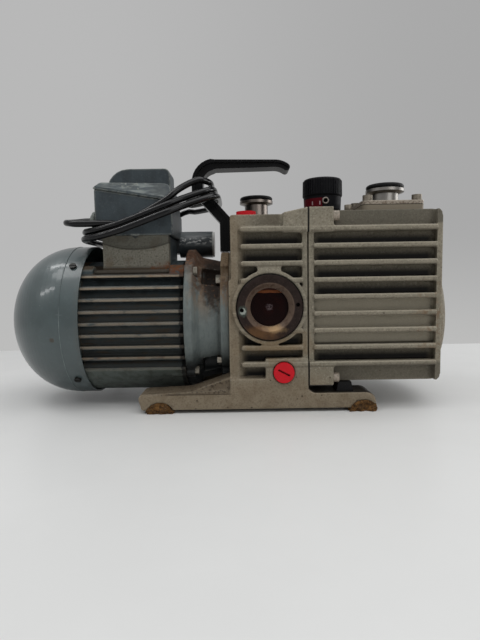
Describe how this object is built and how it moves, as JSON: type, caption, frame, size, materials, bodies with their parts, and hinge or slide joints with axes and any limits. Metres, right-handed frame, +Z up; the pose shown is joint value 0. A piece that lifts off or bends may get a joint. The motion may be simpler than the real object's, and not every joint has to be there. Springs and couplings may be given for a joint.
{
  "type": "rotary vane vacuum pump",
  "caption": "Two-stage oil-sealed rotary vane vacuum pump: finned housing and oil case on base rails, flanged electric motor, small-flange ports, carrying handle and wound mains cord.",
  "frame": {"origin": "on the table, under the middle of the pump without its cord", "axes": "+X along the shaft from the fan cover to the oil case, +Z up, -Y towards the sight glass"},
  "size_m": [0.472, 0.2145, 0.2676],
  "materials": {
    "cast_alloy": "speckled cast metal, grimy",
    "motor_paint": "worn satin paint",
    "box_paint": "worn satin paint",
    "steel": "zinc plated",
    "port_metal": "turned, polished",
    "iron": "machined",
    "bronze": "plain",
    "copper": "lacquered",
    "ring_metal": "dark, oil stained",
    "sight_glass": "clear, oily",
    "handle_black": "gloss",
    "knob_black": "matte",
    "plug_red": "satin",
    "black_rubber": "matte",
    "foot_rubber": "cracked",
    "cord_rubber": "satin",
    "vane_composite": "moulded",
    "filter": "fibre",
    "capacitor_can": "gloss",
    "spider_rubber": "matte"
  },
  "bodies": {
    "pump": {"pump_housing": "cast_alloy", "oil_case": "cast_alloy", "case_gasket": "black_rubber", "case_bolts": "steel", "case_buffers": "black_rubber", "exhaust_flange": "port_metal", "exhaust_flange_screws": "steel", "port_o_rings": "black_rubber", "intake_port": "port_metal", "intake_strainer": "steel", "sight_glass": "sight_glass", "sight_glass_gasket": "black_rubber", "sight_glass_ring": "ring_metal", "handle": "handle_black", "handle_screws": "steel", "rubber_feet": "foot_rubber", "hv_stator": "iron", "fv_stator": "iron", "front_bearing_plate": "iron", "intermediate_plate": "iron", "rear_bearing_plate": "iron", "bearing_bushes": "bronze", "shaft_seal": "black_rubber", "stack_bolts": "steel", "exhaust_valves": "steel", "demister": "filter", "gas_ballast_valve": "steel", "motor_frame": "motor_paint", "stator_core": "iron", "stator_windings": "copper", "drive_end_shield": "motor_paint", "fan_end_shield": "motor_paint", "motor_bearings": "steel", "tie_bolts": "steel", "fan_cover": "motor_paint", "fan_cover_screws": "steel", "terminal_box": "box_paint", "terminal_box_lid": "box_paint", "capacitor_box": "box_paint", "capacitor": "capacitor_can", "cable_gland": "knob_black", "flange_bolts": "steel", "mains_cord_winding": "cord_rubber", "mains_cord_tail": "cord_rubber", "mains_plug": "cord_rubber"},
    "motor_rotor": {"motor_shaft": "steel", "motor_rotor_core": "iron", "cooling_fan": "knob_black", "motor_coupling_hub": "iron", "coupling_spider": "spider_rubber"},
    "pump_rotor": {"hv_rotor": "steel", "fv_rotor": "steel", "pump_coupling_hub": "iron"},
    "hv_vane_a": {"hv_vane_a": "vane_composite"},
    "hv_vane_b": {"hv_vane_b": "vane_composite"},
    "fv_vane_a": {"fv_vane_a": "vane_composite"},
    "fv_vane_b": {"fv_vane_b": "vane_composite"},
    "ballast_knob": {"gas_ballast_knob": "knob_black"},
    "fill_plug": {"oil_fill_plug": "plug_red"},
    "drain_plug": {"oil_drain_plug": "plug_red"}
  },
  "joints": [
    {"name": "motor_spin", "type": "hinge", "parent": "pump", "child": "motor_rotor", "pos_m": [-0.1, 0, 0.09], "axis": [1, 0, 0], "continuous": true},
    {"name": "pump_spin", "type": "hinge", "parent": "pump", "child": "pump_rotor", "pos_m": [0.05, 0, 0.09], "axis": [1, 0, 0], "continuous": true},
    {"name": "hv_vane_a_slide", "type": "slide", "parent": "pump_rotor", "child": "hv_vane_a", "axis": [0, -1, 0], "range_m": [0, 0.0032]},
    {"name": "hv_vane_b_slide", "type": "slide", "parent": "pump_rotor", "child": "hv_vane_b", "axis": [0, 1, 0], "range_m": [0, 0.0032]},
    {"name": "fv_vane_a_slide", "type": "slide", "parent": "pump_rotor", "child": "fv_vane_a", "axis": [0, -1, 0], "range_m": [0, 0.0032]},
    {"name": "fv_vane_b_slide", "type": "slide", "parent": "pump_rotor", "child": "fv_vane_b", "axis": [0, 1, 0], "range_m": [0, 0.0032]},
    {"name": "ballast_turn", "type": "hinge", "parent": "pump", "child": "ballast_knob", "pos_m": [0.112, 0, 0.209], "axis": [0, 0, 1], "range_deg": [0, 180]},
    {"name": "fill_plug_turn", "type": "hinge", "parent": "pump", "child": "fill_plug", "pos_m": [0.024, -0.048, 0.196], "axis": [0, 0, 1], "range_deg": [0, 1080]},
    {"name": "drain_plug_turn", "type": "hinge", "parent": "pump", "child": "drain_plug", "pos_m": [0.0589, -0.082, 0.04], "axis": [0, -1, 0], "range_deg": [0, 1080]}
  ],
  "couplings": [
    {"joint": "pump_spin", "follows": "motor_spin", "ratio": 1}
  ]
}
